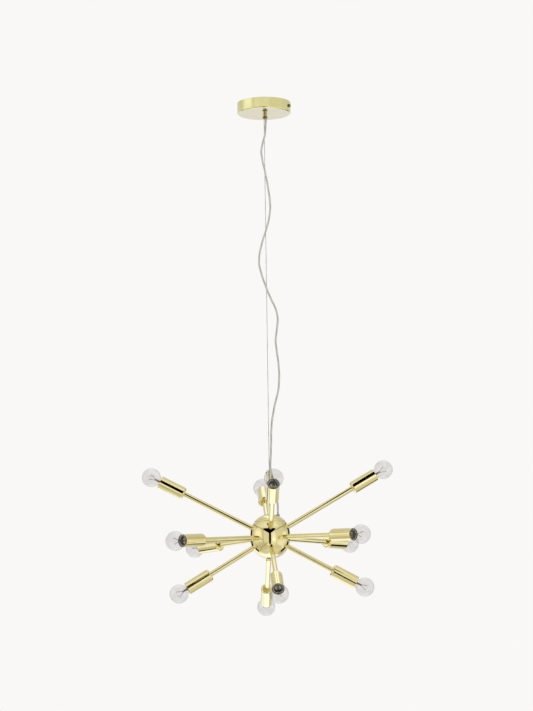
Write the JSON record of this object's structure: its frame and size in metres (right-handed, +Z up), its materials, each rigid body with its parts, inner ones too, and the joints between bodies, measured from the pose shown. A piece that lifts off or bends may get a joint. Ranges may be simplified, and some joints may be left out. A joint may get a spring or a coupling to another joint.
{
  "type": "multi arm chandelier",
  "caption": "Ball-hub chandelier on a steel wire, with straight brass arms in three rings, each ending in a lamp cup with a clear globe bulb",
  "frame": {"origin": "centre of the ceiling bracket's top face, in the ceiling plane", "axes": "+Z up, out of the ceiling face; the suspension wire runs down -Z; -Y is the front; the upper and lower rings' side arms lie along X"},
  "size_m": [0.5992, 0.5679, 1.236],
  "materials": {
    "canopy_brass": "polished",
    "gland_brass": "polished",
    "dark_brass": "knurled, dark",
    "hub_brass": "mirror polished",
    "arm_brass": "mirror polished",
    "cup_brass": "mirror polished",
    "stem_brass": "polished",
    "zinc_steel": "zinc plated",
    "wire_steel": "stranded",
    "cord_plastic": "smooth, slightly clear",
    "dark_plastic": "satin",
    "bulb_glass": "clear"
  },
  "bodies": {
    "canopy": {"ceiling_bracket": "zinc_steel", "canopy_cup": "canopy_brass", "canopy_gland": "gland_brass", "canopy_side_screw": "dark_brass"},
    "swivel": {"wire_swivel": "zinc_steel"},
    "hanger": {"suspension_wire": "wire_steel", "power_cord": "cord_plastic"},
    "fixture": {"wire_stem": "stem_brass", "hub_body": "hub_brass", "hub_lid": "hub_brass", "hub_cord_bush": "dark_plastic", "hub_finial": "hub_brass", "arm_tube_upper_left": "arm_brass", "lamp_cup_upper_left": "cup_brass", "lampholder_upper_left": "dark_plastic", "arm_tube_upper_right": "arm_brass", "lamp_cup_upper_right": "cup_brass", "lampholder_upper_right": "dark_plastic", "arm_tube_upper_front": "arm_brass", "lamp_cup_upper_front": "cup_brass", "lampholder_upper_front": "dark_plastic", "arm_tube_upper_back": "arm_brass", "lamp_cup_upper_back": "cup_brass", "lampholder_upper_back": "dark_plastic", "arm_tube_middle_front_left": "arm_brass", "lamp_cup_middle_front_left": "cup_brass", "lampholder_middle_front_left": "dark_plastic", "arm_tube_middle_front_right": "arm_brass", "lamp_cup_middle_front_right": "cup_brass", "lampholder_middle_front_right": "dark_plastic", "arm_tube_middle_back_left": "arm_brass", "lamp_cup_middle_back_left": "cup_brass", "lampholder_middle_back_left": "dark_plastic", "arm_tube_middle_back_right": "arm_brass", "lamp_cup_middle_back_right": "cup_brass", "lampholder_middle_back_right": "dark_plastic", "arm_tube_lower_left": "arm_brass", "lamp_cup_lower_left": "cup_brass", "lampholder_lower_left": "dark_plastic", "arm_tube_lower_right": "arm_brass", "lamp_cup_lower_right": "cup_brass", "lampholder_lower_right": "dark_plastic", "arm_tube_lower_front": "arm_brass", "lamp_cup_lower_front": "cup_brass", "lampholder_lower_front": "dark_plastic", "arm_tube_lower_back": "arm_brass", "lamp_cup_lower_back": "cup_brass", "lampholder_lower_back": "dark_plastic"},
    "bulb_body_upper_left": {"bulb_upper_left": "bulb_glass"},
    "bulb_body_upper_right": {"bulb_upper_right": "bulb_glass"},
    "bulb_body_upper_front": {"bulb_upper_front": "bulb_glass"},
    "bulb_body_upper_back": {"bulb_upper_back": "bulb_glass"},
    "bulb_body_middle_front_left": {"bulb_middle_front_left": "bulb_glass"},
    "bulb_body_middle_front_right": {"bulb_middle_front_right": "bulb_glass"},
    "bulb_body_middle_back_left": {"bulb_middle_back_left": "bulb_glass"},
    "bulb_body_middle_back_right": {"bulb_middle_back_right": "bulb_glass"},
    "bulb_body_lower_left": {"bulb_lower_left": "bulb_glass"},
    "bulb_body_lower_right": {"bulb_lower_right": "bulb_glass"},
    "bulb_body_lower_front": {"bulb_lower_front": "bulb_glass"},
    "bulb_body_lower_back": {"bulb_lower_back": "bulb_glass"}
  },
  "joints": [
    {"name": "swing_side", "type": "hinge", "parent": "canopy", "child": "swivel", "pos_m": [0, 0, -0.0409], "axis": [0, 1, 0], "range_deg": [-8, 8]},
    {"name": "swing_front", "type": "hinge", "parent": "swivel", "child": "hanger", "pos_m": [0, 0, -0.0409], "axis": [1, 0, 0], "range_deg": [-8, 8]},
    {"name": "turn", "type": "hinge", "parent": "hanger", "child": "fixture", "pos_m": [0, 0, -0.897], "axis": [0, 0, 1], "range_deg": [-90, 90]},
    {"name": "unscrew_upper_left", "type": "slide", "parent": "fixture", "child": "bulb_body_upper_left", "axis": [-0.8886, 0, 0.4587], "range_m": [0, 0.045]},
    {"name": "unscrew_upper_right", "type": "slide", "parent": "fixture", "child": "bulb_body_upper_right", "axis": [0.8652, 0, 0.5015], "range_m": [0, 0.045]},
    {"name": "unscrew_upper_front", "type": "slide", "parent": "fixture", "child": "bulb_body_upper_front", "axis": [-0.0117, -0.8771, 0.4801], "range_m": [0, 0.045]},
    {"name": "unscrew_upper_back", "type": "slide", "parent": "fixture", "child": "bulb_body_upper_back", "axis": [-0.0117, 0.8771, 0.4801], "range_m": [0, 0.045]},
    {"name": "unscrew_middle_front_left", "type": "slide", "parent": "fixture", "child": "bulb_body_middle_front_left", "axis": [-0.7248, -0.6865, -0.0579], "range_m": [0, 0.045]},
    {"name": "unscrew_middle_front_right", "type": "slide", "parent": "fixture", "child": "bulb_body_middle_front_right", "axis": [0.6873, -0.726, -0.0233], "range_m": [0, 0.045]},
    {"name": "unscrew_middle_back_left", "type": "slide", "parent": "fixture", "child": "bulb_body_middle_back_left", "axis": [-0.6853, 0.726, -0.0569], "range_m": [0, 0.045]},
    {"name": "unscrew_middle_back_right", "type": "slide", "parent": "fixture", "child": "bulb_body_middle_back_right", "axis": [0.7268, 0.6865, -0.0224], "range_m": [0, 0.045]},
    {"name": "unscrew_lower_left", "type": "slide", "parent": "fixture", "child": "bulb_body_lower_left", "axis": [-0.8563, 0, -0.5165], "range_m": [0, 0.045]},
    {"name": "unscrew_lower_right", "type": "slide", "parent": "fixture", "child": "bulb_body_lower_right", "axis": [0.8805, 0, -0.4741], "range_m": [0, 0.045]},
    {"name": "unscrew_lower_front", "type": "slide", "parent": "fixture", "child": "bulb_body_lower_front", "axis": [0.0121, -0.8686, -0.4953], "range_m": [0, 0.045]},
    {"name": "unscrew_lower_back", "type": "slide", "parent": "fixture", "child": "bulb_body_lower_back", "axis": [0.0121, 0.8686, -0.4953], "range_m": [0, 0.045]}
  ]
}
